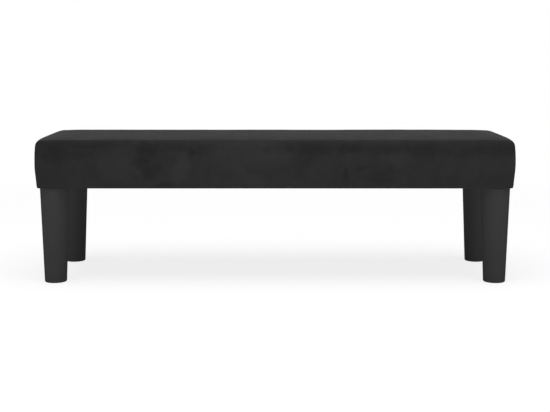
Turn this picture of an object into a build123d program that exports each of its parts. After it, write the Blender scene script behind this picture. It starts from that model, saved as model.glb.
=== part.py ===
from build123d import *
import math
import os

# A velvet bench: a long padded seat block, covered in one piece of velvet, on four round tapered legs.
# Millimetres. The origin is on the floor under the middle of the seat, +Z is up,
# +X runs to the right end and -Y faces the viewer.

# Outer sizes of the bench at its widest level, and the height of its legs
bench_length = 1000.0
bench_depth = 300.0
leg_height = 200.0

# Layers of the upholstery, from the outside in
velvet_thickness = 1.2
wadding_thickness = 3.0
foam_thickness = 34.5
side_foam_least = 3.6
layer_gap = 0.3

# Soft shape: the sides draw in below and above their widest level, and the top is crowned
hem_draw_in = 4.6
shoulder_draw_in = 3.0
widest_level_share = 0.55
crown_rise = 2.0
end_drop = 1.0
end_drop_run = 60.0
foam_edge_radius = 1.5
foam_corner_least = 2.4
edge_limit_share = 0.9

# Hem, where the velvet is folded under the frame
hem_width = 25.0
hem_fold_inner_radius = 0.8
hem_opening_radius = 8.0

# Plywood frame and seat board
rail_thickness = 12.0
rail_height = 50.0
frame_corner_radius = 5.0
board_thickness = 9.0

# Corner blocks that carry the legs
block_height = 22.0
block_edge_margin = 20.0
block_chamfer = 30.0

# Countersunk frame screws
screw_radius = 1.75
screw_head_radius = 3.5
screw_head_height = 2.2
screw_point_length = 4.0
screw_tip_radius = 0.3
screw_sink = 1.0
rail_screw_length = 40.0
block_screw_length = 30.0
screw_clear_gap = 11.0
screw_staple_gap = 4.0
high_screw_drop = 12.0

# Nails that hold the seat board down
nail_radius = 0.9
nail_head_radius = 2.0
nail_head_height = 0.8
nail_point_length = 2.0
nail_tip_radius = 0.2
nail_length = 30.0
nail_pitch = 150.0
short_nail_share = 0.5

# Tee nuts on top of the corner blocks
nut_flange_radius = 11.0
nut_flange_thickness = 1.2
nut_barrel_radius = 5.0
nut_barrel_length = 11.0
nut_prong_length = 7.0
nut_prong_width = 2.5
nut_prong_thickness = 1.2
nut_prong_ring_radius = 8.5
nut_prong_count = 4
nut_hole_clearance = 0.2
nut_to_rail_gap = 2.0

# Hexagon bolts moulded into the legs
bolt_radius = 4.0
bolt_head_radius = 7.5
bolt_head_height = 5.3
bolt_in_leg = 25.0
stud_length = 25.0
hexagon_sides = 6
thread_clearance = 0.05
stud_hole_clearance = 0.5

# Hollow moulded legs
leg_foot_radius = 23.0
leg_top_radius = 30.5
leg_edge_radius = 0.8
leg_wall = 3.0
leg_plate = 4.0
boss_radius = 10.0
boss_length = 35.0
rib_thickness = 2.5
rib_count = 4

# Glides pressed into the feet
glide_flange_thickness = 1.0
glide_flange_margin = 1.0
glide_plug_length = 12.0
glide_plug_wall = 2.0
glide_clearance = 0.1

# Dust cover under the seat
dust_cover_thickness = 0.5
dust_cover_margin = 10.0
dust_cover_corner_radius = 8.0

# Staples of the velvet and of the dust cover
staple_wire = 0.6
staple_width = 1.2
staple_crown = 10.0
staple_leg_length = 8.0
cover_staple_pitch = 45.0
cover_staple_inset = 5.0
dust_staple_pitch = 60.0
dust_staple_inset = 8.5
dust_staple_leg_gap = 10.0

# How far cutting shapes run past what they cut
overrun = 20.0

# Levels, from the floor up
dust_cover_bottom = leg_height
seat_underside = dust_cover_bottom + dust_cover_thickness
frame_bottom = seat_underside + velvet_thickness
frame_top = frame_bottom + rail_height
board_top = frame_top + board_thickness
wadding_inset = velvet_thickness + layer_gap
foam_inset = wadding_inset + wadding_thickness + layer_gap
bench_height = board_top + foam_thickness + foam_inset
widest_level = seat_underside + widest_level_share * (bench_height - seat_underside)
shoulder_level = bench_height - crown_rise
low_screw_level = frame_bottom + staple_leg_length + screw_staple_gap
high_screw_level = frame_top - high_screw_drop

# Plan sizes, from the outside in
frame_inset = hem_draw_in + foam_inset + side_foam_least
frame_length = bench_length - 2 * frame_inset
frame_depth = bench_depth - 2 * frame_inset
corner_radius = max(hem_draw_in, shoulder_draw_in) + foam_inset + foam_corner_least
inner_length = frame_length - 2 * rail_thickness
inner_depth = frame_depth - 2 * rail_thickness
leg_x = inner_length / 2 - nut_to_rail_gap - nut_flange_radius
leg_y = inner_depth / 2 - nut_to_rail_gap - nut_flange_radius
block_screw_offset = rail_screw_length + screw_sink - rail_thickness + screw_clear_gap
block_size = block_screw_offset + block_edge_margin

corners = {
    "front_left": (-1, -1),
    "front_right": (1, -1),
    "rear_left": (-1, 1),
    "rear_right": (1, 1),
}
from_below = (Align.CENTER, Align.CENTER, Align.MIN)
from_above = (Align.CENTER, Align.CENTER, Align.MAX)


def arc_fall(run, fall, reach):
    """Fall, at a reach, of a round arc that starts level and falls by fall over run."""
    radius = (run ** 2 + fall ** 2) / (2 * fall)
    return radius - math.sqrt(radius ** 2 - reach ** 2)


def draw_in_at(level):
    """How far the soft sides stand inside their widest level."""
    if level < widest_level:
        return arc_fall(widest_level - seat_underside, hem_draw_in, widest_level - level)
    return arc_fall(shoulder_level - widest_level, shoulder_draw_in, level - widest_level)


def side_strip(inset, base):
    """Upright section of a soft side, from a corner's centre line out to its two arcs."""
    widest = corner_radius - inset
    high = bench_height + crown_rise
    low_reach = widest - draw_in_at(base)
    high_reach = widest - draw_in_at(high)
    outline = [
        TangentArc((widest, widest_level), (low_reach, base), tangent=(0, -1)),
        TangentArc((widest, widest_level), (high_reach, high), tangent=(0, 1)),
        Line((high_reach, high), (0, high)),
        Line((0, high), (0, base)),
        Line((0, base), (low_reach, base)),
    ]
    return make_face(outline)


def soft_walls(inset, base):
    """Block with soft sides and upright round corners, a little higher than the crowned top."""
    half_length = bench_length / 2 - corner_radius
    half_depth = bench_depth / 2 - corner_radius
    height = bench_height + crown_rise - base
    strip = side_strip(inset, base)
    end = Pos(half_length, 0, 0) * extrude(Plane.XZ * strip, amount=half_depth, both=True)
    side = Pos(0, half_depth, 0) * extrude(Plane.YZ * strip, amount=half_length, both=True)
    corner = revolve(Plane.XZ * strip, Axis.Z, 90)
    body = Pos(0, 0, base) * Box(2 * half_length, 2 * half_depth, height, align=from_below)
    body = body + end + mirror(end, Plane.YZ)
    body = body + side + mirror(side, Plane.XZ)
    for turn, (across, along) in enumerate([(1, 1), (-1, 1), (-1, -1), (1, -1)]):
        place = Pos(across * half_length, along * half_depth, 0)
        body = body + place * Rot(0, 0, 90 * turn) * corner
    return body


def crown_lids(inset):
    """Shapes above the crowned top: a long one in the middle and one that bends down over each end."""
    ridge = bench_height - inset
    reach = bench_depth / 2 + overrun
    low = ridge - arc_fall(bench_depth / 2, crown_rise, reach)
    high = ridge + 3 * overrun
    outline = [
        ThreePointArc((-reach, low), (0, ridge), (reach, low)),
        Line((reach, low), (reach, high)),
        Line((reach, high), (-reach, high)),
        Line((-reach, high), (-reach, low)),
    ]
    section = Plane.YZ * make_face(outline)
    straight = bench_length / 2 - end_drop_run
    bend_radius = (end_drop_run ** 2 + end_drop ** 2) / (2 * end_drop)
    bend_angle = math.degrees(math.asin((end_drop_run + overrun) / bend_radius))
    bend_axis = Axis((straight, 0, ridge - bend_radius), (0, 1, 0))
    middle = extrude(section, amount=straight, both=True)
    right = revolve(Pos(straight, 0, 0) * section, bend_axis, bend_angle)
    return [middle, right, mirror(right, Plane.YZ)]


def seat_form(inset, base, fold_radius):
    """Crowned seat block, an inset inside the velvet's outer face, from a base level up."""
    body = soft_walls(inset, base)
    for lid in crown_lids(inset):
        body = body - lid
    crown_faces = [face for face in body.faces() if face.center().Z > shoulder_level - inset - end_drop]
    crown_edges = [edge for face in crown_faces for edge in face.edges()]
    rim = [edge for edge in crown_edges if crown_edges.count(edge) == 1]
    corner_room = corner_radius - inset - draw_in_at(shoulder_level)
    edge_radius = min(foam_edge_radius + foam_inset - inset, edge_limit_share * corner_room)
    body = fillet(rim, edge_radius)
    if fold_radius > 0:
        bottom = body.faces().sort_by(Axis.Z)[0]
        body = fillet(bottom.edges(), fold_radius)
    return body


def rounded_slab(length, depth, radius, bottom, top):
    """Flat slab with round corners between two levels, centred over the origin."""
    outline = RectangleRounded(length, depth, radius)
    return Pos(0, 0, bottom) * extrude(outline, amount=top - bottom)


def layer_box(x_low, x_high, y_low, y_high, z_low, z_high):
    """Plain box between two corners, used to divide the layers."""
    size = (x_high - x_low, y_high - y_low, z_high - z_low)
    middle = ((x_high + x_low) / 2, (y_high + y_low) / 2, (z_high + z_low) / 2)
    return Pos(*middle) * Box(*size)


def cut_all(body, tools):
    """Take a list of solids away from a body."""
    return body.cut(*tools)


def spread(reach, pitch):
    """Even places from one end of a row to the other, near a wished pitch."""
    steps = max(1, round(2 * reach / pitch))
    return [-reach + 2 * reach * step / steps for step in range(steps + 1)]


def paired_spread(reach, pitch):
    """Even places in a row that leaves its middle free."""
    count = 2 * max(1, round(reach / pitch))
    return [-reach + 2 * reach * (step + 0.5) / count for step in range(count)]


def wood_screw(length):
    """Countersunk screw with its head face at the origin and its point down."""
    shank_length = length - screw_head_height - screw_point_length
    head = Cone(screw_radius, screw_head_radius, screw_head_height, align=from_above)
    shank = Pos(0, 0, -screw_head_height) * Cylinder(screw_radius, shank_length, align=from_above)
    point = Cone(screw_tip_radius, screw_radius, screw_point_length, align=from_below)
    return head + shank + Pos(0, 0, -length) * point


def screw_places():
    """Where each frame screw's head lies, with its length."""
    along_y = frame_depth / 2 - screw_sink
    along_x = frame_length / 2 - screw_sink
    rail_middle_x = (frame_length - rail_thickness) / 2
    block_screw_x = inner_length / 2 - block_screw_offset
    block_screw_y = inner_depth / 2 - block_screw_offset
    places = []
    for across, along in corners.values():
        outward_y = Rot(-90 * along, 0, 0)
        outward_x = Rot(0, 90 * across, 0)
        for level in (low_screw_level, high_screw_level):
            corner_place = Pos(across * rail_middle_x, along * along_y, level) * outward_y
            places.append((corner_place, rail_screw_length))
        front_place = Pos(across * block_screw_x, along * along_y, low_screw_level) * outward_y
        places.append((front_place, block_screw_length))
        end_place = Pos(across * along_x, along * block_screw_y, low_screw_level) * outward_x
        places.append((end_place, block_screw_length))
    for along in (-1, 1):
        for level in (low_screw_level, high_screw_level):
            brace_place = Pos(0, along * along_y, level) * Rot(-90 * along, 0, 0)
            places.append((brace_place, rail_screw_length))
    return places


def frame_screws():
    """All the screws of the frame."""
    return [place * wood_screw(length) for place, length in screw_places()]


def screw_recesses():
    """Short bores that sink the screw heads below the rails' faces."""
    recess = Cylinder(screw_head_radius, screw_sink, align=from_below)
    return [place * recess for place, length in screw_places()]


def board_nail():
    """Flat-headed nail with its head's top face at the origin and its point down."""
    shank_length = nail_length - nail_head_height - nail_point_length
    head = Cylinder(nail_head_radius, nail_head_height, align=from_above)
    shank = Pos(0, 0, -nail_head_height) * Cylinder(nail_radius, shank_length, align=from_above)
    point = Cone(nail_tip_radius, nail_radius, nail_point_length, align=from_below)
    return head + shank + Pos(0, 0, -nail_length) * point


def board_nails():
    """Nails along the long rails, and a pair in each end rail and in the brace."""
    long_rail_y = (frame_depth - rail_thickness) / 2
    end_rail_x = (frame_length - rail_thickness) / 2
    short_nail_y = short_nail_share * inner_depth / 2
    spots = [(x, side * long_rail_y) for x in paired_spread(leg_x, nail_pitch) for side in (-1, 1)]
    spots += [(x, side * short_nail_y) for x in (-end_rail_x, 0, end_rail_x) for side in (-1, 1)]
    return [Pos(x, y, board_top) * board_nail() for x, y in spots]


def staple():
    """Staple with its crown's outer face down at the origin and its legs up."""
    crown = Box(staple_crown, staple_width, staple_wire, align=from_below)
    leg = Box(staple_wire, staple_width, staple_leg_length, align=from_below)
    leg_place = (staple_crown - staple_wire) / 2
    return crown + Pos(leg_place, 0, 0) * leg + Pos(-leg_place, 0, 0) * leg


def staple_ring(inset, reach_x, reach_y, pitch, level):
    """Staples along all four rails, an inset inside the frame's faces."""
    side_y = frame_depth / 2 - inset
    end_x = frame_length / 2 - inset
    places = [Pos(x, side * side_y, level) for x in spread(reach_x, pitch) for side in (-1, 1)]
    places += [Pos(side * end_x, y, level) * Rot(0, 0, 90) for y in spread(reach_y, pitch) for side in (-1, 1)]
    return [place * staple() for place in places]


def cover_staples():
    """Staples sunk in the velvet's hem."""
    return staple_ring(cover_staple_inset, leg_x, leg_y, cover_staple_pitch, seat_underside)


def dust_cover_staples():
    """Staples across the dust cover, left out where the legs' top plates lie."""
    clear = leg_top_radius + dust_staple_leg_gap
    level = dust_cover_bottom - staple_wire
    return staple_ring(dust_staple_inset, leg_x - clear, leg_y - clear, dust_staple_pitch, level)


def tee_nut():
    """Pronged nut with its flange's lower face at the origin and its barrel down."""
    flange = Cylinder(nut_flange_radius, nut_flange_thickness, align=from_below)
    barrel = Cylinder(nut_barrel_radius, nut_barrel_length, align=from_above)
    body = flange + barrel
    prong = Box(nut_prong_thickness, nut_prong_width, nut_prong_length, align=from_above)
    for turn in range(nut_prong_count):
        body = body + Rot(0, 0, 360 * turn / nut_prong_count) * Pos(nut_prong_ring_radius, 0, 0) * prong
    bore = Cylinder(bolt_radius + thread_clearance, 2 * (nut_barrel_length + overrun))
    return body - bore


def leg_bolt():
    """Hexagon bolt, head down, placed as it stands in a leg whose axis is the origin's."""
    head_top = leg_height - bolt_in_leg
    hexagon = extrude(RegularPolygon(bolt_head_radius, hexagon_sides), amount=bolt_head_height)
    shank = Cylinder(bolt_radius, bolt_in_leg + stud_length, align=from_below)
    return Pos(0, 0, head_top - bolt_head_height) * hexagon + Pos(0, 0, head_top) * shank


def leg():
    """Hollow tapered leg with a top plate, a ribbed boss for its bolt, and an open foot."""
    length = leg_height - glide_flange_thickness
    plate_bottom = length - leg_plate
    radius_per_length = (leg_top_radius - leg_foot_radius) / length
    bore_top_radius = leg_foot_radius - leg_wall + radius_per_length * plate_bottom
    blank = Cone(leg_foot_radius, leg_top_radius, length, align=from_below)
    outside = fillet(blank.edges().filter_by(GeomType.CIRCLE), leg_edge_radius)
    bore = Cone(leg_foot_radius - leg_wall, bore_top_radius, plate_bottom, align=from_below)
    boss = Pos(0, 0, plate_bottom) * Cylinder(boss_radius, boss_length, align=from_above)
    rib = Pos(0, 0, plate_bottom) * Box(2 * leg_top_radius, rib_thickness, boss_length, align=from_above)
    stiffening = boss
    for turn in range(rib_count // 2):
        stiffening = stiffening + Rot(0, 0, 180 * turn / (rib_count // 2)) * rib
    body = outside - bore + (stiffening & outside)
    return Pos(0, 0, glide_flange_thickness) * body - leg_bolt()


def foot_glide():
    """Flanged glide whose hollow plug fills the foot of a leg."""
    plug_radius = leg_foot_radius - leg_wall - glide_clearance
    flange = Cylinder(leg_foot_radius - glide_flange_margin, glide_flange_thickness, align=from_below)
    plug = Cylinder(plug_radius, glide_plug_length, align=from_below)
    hollow = Cylinder(plug_radius - glide_plug_wall, glide_plug_length, align=from_below)
    return flange + Pos(0, 0, glide_flange_thickness) * (plug - hollow)


def corner_block(across, along):
    """Block in a corner of the frame, with a chamfer on its inner corner and its nut's holes."""
    outline = [(0, 0), (block_size, 0), (block_size, block_size - block_chamfer),
               (block_size - block_chamfer, block_size), (0, block_size)]
    corner_x = across * inner_length / 2
    corner_y = along * inner_depth / 2
    points = [(corner_x - across * x, corner_y - along * y) for x, y in outline]
    face = make_face(Polyline(*points, close=True))
    blank = Pos(0, 0, frame_bottom) * extrude(face, amount=block_height, dir=(0, 0, 1))
    hole = Cylinder(nut_barrel_radius + nut_hole_clearance, 2 * (block_height + overrun))
    nut_place = Pos(across * leg_x, along * leg_y, frame_bottom + block_height)
    return blank - nut_place * hole - nut_place * tee_nut()


def stud_holes():
    """Clear holes round the four bolts, for the dust cover and the hem."""
    hole = Cylinder(bolt_radius + stud_hole_clearance, 2 * overrun)
    return [Pos(across * leg_x, along * leg_y, leg_height) * hole for across, along in corners.values()]


def velvet_cover(staples):
    """One skin over the whole block, folded under it into a hem."""
    outer_fold = hem_fold_inner_radius + velvet_thickness
    outside = seat_form(0, seat_underside, outer_fold)
    inside = seat_form(velvet_thickness, frame_bottom, hem_fold_inner_radius)
    opening_length = bench_length - 2 * (hem_draw_in + hem_width)
    opening_depth = bench_depth - 2 * (hem_draw_in + hem_width)
    low = seat_underside - overrun
    high = frame_bottom + hem_fold_inner_radius
    opening = rounded_slab(opening_length, opening_depth, hem_opening_radius, low, high)
    return cut_all(outside - inside - opening, stud_holes() + staples)


def fibre_wadding():
    """Thin soft wrap over the top and sides of the foam."""
    outside = seat_form(wadding_inset, frame_bottom + layer_gap, 0)
    inside = seat_form(wadding_inset + wadding_thickness, frame_bottom, 0)
    return outside - inside


def foam_pieces():
    """Seat slab on the board, and four side strips that fit round the frame."""
    block = seat_form(foam_inset, frame_bottom, 0)
    core = rounded_slab(frame_length, frame_depth, frame_corner_radius, frame_bottom - overrun, board_top)
    ring = block - core
    far_x = bench_length
    far_y = frame_depth / 2
    low = frame_bottom
    return {
        "seat_foam": block & layer_box(-far_x, far_x, -bench_depth, bench_depth, board_top, bench_height),
        "front_side_foam": ring & layer_box(-far_x, far_x, -bench_depth, -far_y, low, board_top),
        "rear_side_foam": ring & layer_box(-far_x, far_x, far_y, bench_depth, low, board_top),
        "left_end_foam": ring & layer_box(-far_x, 0, -far_y, far_y, low, board_top),
        "right_end_foam": ring & layer_box(0, far_x, -far_y, far_y, low, board_top),
    }


def frame_pieces(tools):
    """Two long rails, two end rails between them, a brace and the seat board."""
    frame = rounded_slab(frame_length, frame_depth, frame_corner_radius, frame_bottom, frame_top)
    long_rail = Pos(0, 0, frame_bottom) * Box(frame_length, rail_thickness, rail_height, align=from_below)
    end_rail = Pos(0, 0, frame_bottom) * Box(rail_thickness, inner_depth, rail_height, align=from_below)
    rail_y = (frame_depth - rail_thickness) / 2
    rail_x = (frame_length - rail_thickness) / 2
    board = rounded_slab(frame_length, frame_depth, frame_corner_radius, frame_top, board_top)
    blanks = {
        "front_rail": Pos(0, -rail_y, 0) * long_rail & frame,
        "rear_rail": Pos(0, rail_y, 0) * long_rail & frame,
        "left_end_rail": Pos(-rail_x, 0, 0) * end_rail,
        "right_end_rail": Pos(rail_x, 0, 0) * end_rail,
        "centre_brace": end_rail,
        "seat_board": board,
    }
    return {name: cut_all(blank, tools) for name, blank in blanks.items()}


def dust_cover(staples):
    """Thin flat sheet under the seat, with holes for the bolts and the staples' legs."""
    length = bench_length - 2 * (hem_draw_in + dust_cover_margin)
    depth = bench_depth - 2 * (hem_draw_in + dust_cover_margin)
    sheet = rounded_slab(length, depth, dust_cover_corner_radius, dust_cover_bottom, seat_underside)
    return cut_all(sheet, stud_holes() + staples)


def corner_pieces(screws):
    """Block, nut, leg, bolt and glide of each corner."""
    pieces = {}
    for name, (across, along) in corners.items():
        axis = Pos(across * leg_x, along * leg_y, 0)
        pieces["corner_block_" + name] = cut_all(corner_block(across, along), screws)
        pieces["tee_nut_" + name] = Pos(0, 0, frame_bottom + block_height) * axis * tee_nut()
        pieces["leg_" + name] = axis * leg()
        pieces["leg_bolt_" + name] = axis * leg_bolt()
        pieces["foot_glide_" + name] = axis * foot_glide()
    return pieces


def bench():
    """Every piece of the bench, under the name of its node."""
    screws = frame_screws()
    nails = board_nails()
    hem_staples = cover_staples()
    sheet_staples = dust_cover_staples()
    staples = hem_staples + sheet_staples
    pieces = {"velvet_cover": velvet_cover(staples), "fibre_wadding": fibre_wadding()}
    pieces.update(foam_pieces())
    pieces.update(frame_pieces(screws + screw_recesses() + nails + staples))
    pieces.update(corner_pieces(screws))
    pieces["dust_cover"] = dust_cover(sheet_staples)
    pieces["frame_screws"] = Compound(screws)
    pieces["board_nails"] = Compound(nails)
    pieces["cover_staples"] = Compound(hem_staples)
    pieces["dust_cover_staples"] = Compound(sheet_staples)
    return pieces


os.makedirs("parts", exist_ok=True)
for node, piece in bench().items():
    export_step(piece, "parts/" + node + ".step")
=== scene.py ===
import math

import bmesh
import bpy
import numpy as np
from mathutils import Matrix, Vector, noise


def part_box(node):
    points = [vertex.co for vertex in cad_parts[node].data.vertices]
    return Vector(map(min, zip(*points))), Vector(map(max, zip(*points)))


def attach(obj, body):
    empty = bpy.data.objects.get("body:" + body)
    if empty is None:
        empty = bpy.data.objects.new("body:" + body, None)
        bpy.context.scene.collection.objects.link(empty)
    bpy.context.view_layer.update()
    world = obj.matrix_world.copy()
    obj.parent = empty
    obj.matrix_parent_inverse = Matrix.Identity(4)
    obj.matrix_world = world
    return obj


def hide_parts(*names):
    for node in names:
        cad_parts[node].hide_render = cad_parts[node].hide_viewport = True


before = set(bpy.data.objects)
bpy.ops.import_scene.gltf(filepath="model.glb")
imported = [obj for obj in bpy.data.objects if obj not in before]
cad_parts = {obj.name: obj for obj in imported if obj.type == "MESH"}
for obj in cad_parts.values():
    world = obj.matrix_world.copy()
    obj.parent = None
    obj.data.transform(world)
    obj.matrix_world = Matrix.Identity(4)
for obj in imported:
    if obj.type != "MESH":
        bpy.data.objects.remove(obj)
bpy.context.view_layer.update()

# A velvet bench: one padded block in a sewn velvet cover, on four round tapered legs.
# Metres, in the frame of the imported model: the floor is at height zero and the front faces -Y.

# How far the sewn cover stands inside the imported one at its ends, and above it at its crown
end_ease = 0.0007
crown_margin = 0.0042

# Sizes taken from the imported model
cover_low, cover_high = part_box("velvet_cover")
lining_low, lining_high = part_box("dust_cover")
rail_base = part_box("front_rail")[0].z
board_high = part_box("seat_board")[1]
hem_staple_low, hem_staple_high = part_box("cover_staples")
lining_staple_low, lining_staple_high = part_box("dust_cover_staples")
leg_low, leg_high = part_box("leg_rear_right")
half_length = cover_high.x - end_ease
half_depth = cover_high.y
hem_level = cover_low.z
top_level = cover_high.z + crown_margin
frame_half_length = board_high.x
frame_half_depth = board_high.y
leg_x = (leg_low.x + leg_high.x) / 2
leg_y = (leg_low.y + leg_high.y) / 2
leg_top_radius = (leg_high.x - leg_low.x) / 2

# Cover form: draw-in of the soft sides, crown, and roundness of edges and corners, in x, y and z
widest_share = 0.55
widest_level = hem_level + widest_share * (top_level - hem_level)
hem_draw_in = 0.0042
shoulder_draw_in = 0.0034
crown_rise = 0.0046
crown_power = 5
end_drop = 0.0020
end_drop_run = 0.060
edge_radii = np.array([0.0080, 0.0180, 0.0120])
ear_radii = np.array([0.0100, 0.0100, 0.0125])
ear_reach = 0.014
ear_height = 0.0005
least_radius = 0.0012
fold_radius = 0.0020
hem_width = 0.025

# Layers under the velvet
velvet_thickness = 0.0012
layer_gap = 0.0005
wadding_thickness = 0.0030
wadding_inset = velvet_thickness + layer_gap
foam_inset = wadding_inset + wadding_thickness + layer_gap
strip_levels = 9

# Staples: a flat wire with round bends, near these distances apart
staple_crown = 0.010
staple_width = 0.0012
staple_wire = 0.0006
staple_bend = 0.0009
staple_rounding = 0.0002
staple_bend_steps = 2
hem_staple_pitch = 0.045
lining_staple_pitch = 0.060
lining_staple_gap = 0.010

# Mesh steps
finest_step = 0.0013
widest_step = 0.0095
step_growth = 1.18
level_growth = 1.35
fold_steps = 3
hem_steps = 4
sharp_angle = math.radians(40)

# Lengths and areas that count as none
same_place = finest_step / 2
no_length = finest_step ** 2
no_area = finest_step ** 4

# How the pad swells the cloth, and the cloth itself
swell_room = 0.0006
swell_cap = 0.0011
swell_pressure = 4.0
swell_frames = 20
swell_fade = 0.02
cloth_quality = 5
cloth_mass = 0.3
cloth_stiffness = 15
cloth_shear_stiffness = 5
cloth_bending_stiffness = 1.0

# Slow unevenness of the padding
wave_depth = 0.0006
wave_length = 0.13
ripple_depth = 0.00025
ripple_length = 0.034

# Corner seams, puckers beside them, and pulls of the hem's staples
seam_depth = 0.0011
seam_width = 0.0014
seam_end = 0.004
pucker_depth = 0.00035
pucker_pitch = 0.0085
pucker_reach = 0.010
pucker_drift = 3
pull_depth = 0.0005
pull_reach = 0.014

# Lining under the seat, and the bolts' holes in it
lining_columns = 240
lining_rows = 64
lining_radius = 0.008
lining_fold_width = 0.012
lining_fold_extra = 0.0003
lining_fold_slope = 0.0006
lining_sag = 0.0014
lining_pucker = 0.0003
lining_pucker_pitch = 0.020
lining_leg_clear = 0.006
bolt_hole_radius = 0.0045
bolt_hole_sides = 32


def smooth_step(value):
    """Smooth rise from 0 to 1 while the value goes from 0 to 1."""
    held = np.clip(value, 0, 1)
    return held * held * (3 - 2 * held)


def arc_fall(run, fall, reach):
    """Fall, at a reach, of a round arc that starts level and falls by fall over run."""
    radius = (run ** 2 + fall ** 2) / (2 * fall)
    return radius - np.sqrt(np.maximum(radius ** 2 - np.square(reach), 0))


def draw_in_at(level):
    """How far the soft sides stand inside their widest level."""
    below = arc_fall(widest_level - hem_level, hem_draw_in, widest_level - level)
    above = arc_fall(top_level - widest_level, shoulder_draw_in, level - widest_level)
    return np.where(level < widest_level, below, above)


def graded_places(half, growth):
    """Places across a side, close together at its two ends and wider apart towards its middle."""
    gaps = [finest_step]
    while sum(gaps) < half:
        gaps.append(min(widest_step, gaps[-1] * growth))
    scale = half / sum(gaps)
    inward = half - np.cumsum([0] + gaps) * scale
    inward[-1] = 0
    return np.concatenate([-inward[:-1], inward[::-1]])


def even_row(reach, pitch):
    """Even places from one end of a row to the other, near a wished pitch."""
    steps = max(1, round(2 * reach / pitch))
    return [-reach + 2 * reach * step / steps for step in range(steps + 1)]


def rounded(points, inset, outer_radii):
    """Points on a sharp-edged block, moved onto the same block with round corners and top edges."""
    radii = np.maximum(outer_radii - inset, least_radius)
    core_x = half_length - inset - radii[0]
    core_y = half_depth - inset - radii[1]
    core = points.copy()
    core[:, 0] = np.clip(points[:, 0], -core_x, core_x)
    core[:, 1] = np.clip(points[:, 1], -core_y, core_y)
    core[:, 2] = np.minimum(points[:, 2], top_level - inset - radii[2])
    out = (points - core) / radii
    length = np.linalg.norm(out, axis=1)
    length[length < no_length] = 1
    return core + out / length[:, None] * radii


def shaped(points, inset):
    """Block points with round edges, sharper at the sewn corners, drawn-in sides and a crowned top."""
    away_x = half_length - inset - np.abs(points[:, 0])
    away_y = half_depth - inset - np.abs(points[:, 1])
    below_top = top_level - inset - points[:, 2]
    ear = np.exp(-(np.hypot(away_x, away_y) / ear_reach) ** 2 - (below_top / ear_reach) ** 2)
    soft_form = rounded(points, inset, edge_radii)
    made = soft_form + (rounded(points, inset, ear_radii) - soft_form) * ear[:, None]
    draw = draw_in_at(made[:, 2])
    made[:, 0] *= (half_length - draw) / half_length
    made[:, 1] *= (half_depth - draw) / half_depth
    to_end = np.maximum(np.abs(made[:, 0]) - half_length + end_drop_run, 0) / end_drop_run
    fall = crown_rise * np.abs(made[:, 1] / half_depth) ** crown_power + end_drop * to_end ** 2
    made[:, 2] -= fall * smooth_step((made[:, 2] - widest_level) / (top_level - widest_level))
    return made


# Block grid: a top sheet, and below its border closed loops down the sides

across_places = graded_places(half_length, step_growth)
along_places = graded_places(half_depth, step_growth)
row_count = len(along_places)
column_count = len(across_places)
sheet_size = column_count * row_count


def border_of(columns, rows):
    """Indices of a grid sheet's border, in order round it, seen from above."""
    front = [(c, 0) for c in range(columns - 1)]
    right = [(columns - 1, r) for r in range(rows - 1)]
    rear = [(c, rows - 1) for c in range(columns - 1, 0, -1)]
    left = [(0, r) for r in range(rows - 1, 0, -1)]
    return [c * rows + r for c, r in front + right + rear + left]


def sheet_faces(columns, rows):
    """Quads of a grid sheet, facing up."""
    corners = [c * rows + r for c in range(columns - 1) for r in range(rows - 1)]
    return [(k, k + rows, k + rows + 1, k + 1) for k in corners]


def skirt_faces(upper, lower):
    """Quads between two closed loops of indices, facing out when the first loop is the upper one."""
    count = len(upper)
    return [(upper[k], lower[k], lower[(k + 1) % count], upper[(k + 1) % count]) for k in range(count)]


rim = border_of(column_count, row_count)


def sheet_block(inset):
    """Top sheet on the sharp-edged block, an inset inside the cover."""
    across, along = np.meshgrid(across_places, along_places, indexing="ij")
    x = across.ravel() * (half_length - inset) / half_length
    y = along.ravel() * (half_depth - inset) / half_depth
    return np.column_stack([x, y, np.full(sheet_size, top_level - inset)])


def loop_block(inset, level):
    """Loop round the sharp-edged block at a level, an inset inside the cover."""
    loop = sheet_block(inset)[rim]
    loop[:, 2] = level
    return loop


def wall_levels(base, inset):
    """Levels of the loops from under the top edge down to a base level, closer where the form bends."""
    half_height = (top_level - inset - base) / 2
    return (base + half_height + graded_places(half_height, level_growth))[::-1][1:]


def dome_faces(loop_count):
    """Quads of the top sheet and of the loops below it."""
    faces = sheet_faces(column_count, row_count)
    upper = rim
    for number in range(loop_count):
        start = sheet_size + number * len(rim)
        lower = list(range(start, start + len(rim)))
        faces += skirt_faces(upper, lower)
        upper = lower
    return faces


def mesh_piece(name, points, faces, creased=False):
    """New smooth-shaded object from points and faces, with its sharp edges kept where it is creased."""
    mesh = bpy.data.meshes.new(name)
    mesh.from_pydata([tuple(p) for p in points], [], faces)
    mesh.validate()
    mesh.shade_smooth()
    if creased:
        mesh.set_sharp_from_angle(angle=sharp_angle)
    piece = bpy.data.objects.new(name, mesh)
    bpy.context.scene.collection.objects.link(piece)
    return piece


def points_of(mesh):
    """Vertex places of a mesh as an array."""
    places = np.empty(len(mesh.vertices) * 3, np.float32)
    mesh.vertices.foreach_get("co", places)
    return places.reshape(-1, 3).astype(float)


def point_normals(points, faces):
    """Outward direction at each point of a quad mesh."""
    quads = np.array(faces)
    first = points[quads[:, 2]] - points[quads[:, 0]]
    second = points[quads[:, 3]] - points[quads[:, 1]]
    facing = np.cross(first, second)
    total = np.zeros_like(points)
    for side in range(4):
        np.add.at(total, quads[:, side], facing)
    length = np.linalg.norm(total, axis=1)
    length[length < no_area] = 1
    return total / length[:, None]


def bake_modifiers(piece):
    """Replace a piece's mesh by its finished shape, and take its modifiers off."""
    graph = bpy.context.evaluated_depsgraph_get()
    finished = bpy.data.meshes.new_from_object(piece.evaluated_get(graph))
    piece.modifiers.clear()
    piece.data = finished


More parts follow.
